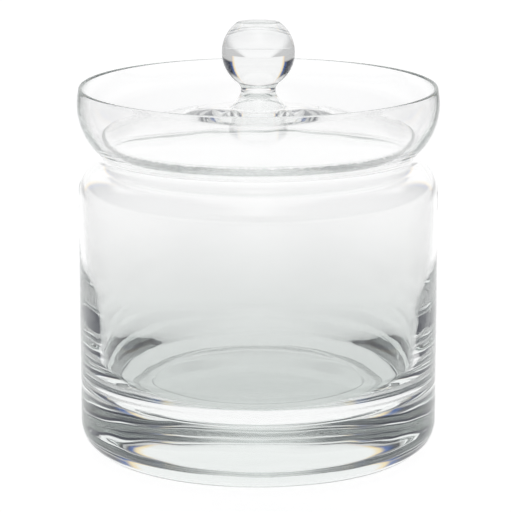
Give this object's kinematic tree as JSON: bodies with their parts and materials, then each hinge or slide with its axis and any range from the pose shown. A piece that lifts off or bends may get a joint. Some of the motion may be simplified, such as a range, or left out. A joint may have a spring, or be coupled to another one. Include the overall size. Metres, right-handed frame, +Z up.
{
  "type": "specimen jar",
  "caption": "Clear glass jar with a thick rounded base, a waisted neck and a flared collar, closed by an inset domed glass lid with a solid ball knob.",
  "frame": {"origin": "centre of the flat base, on the surface that the jar stands on", "axes": "+Z up along the jar's axis; the jar is turned about +Z, so +X and +Y are any two directions across it"},
  "size_m": [0.1406, 0.1406, 0.1691],
  "materials": {
    "jar_glass": "clear blown glass, fire-polished, faint green-grey in the thick base",
    "lid_glass": "clear blown glass with a rounded edge",
    "knob_glass": "clear solid glass with a polished flat on top"
  },
  "bodies": {
    "jar": {"jar_body": "jar_glass"},
    "lid": {"lid_plate": "lid_glass", "lid_knob": "knob_glass"}
  },
  "joints": [
    {"name": "lid_lift", "type": "slide", "parent": "jar", "child": "lid", "axis": [0, 0, 1], "range_m": [0, 0.1]}
  ]
}
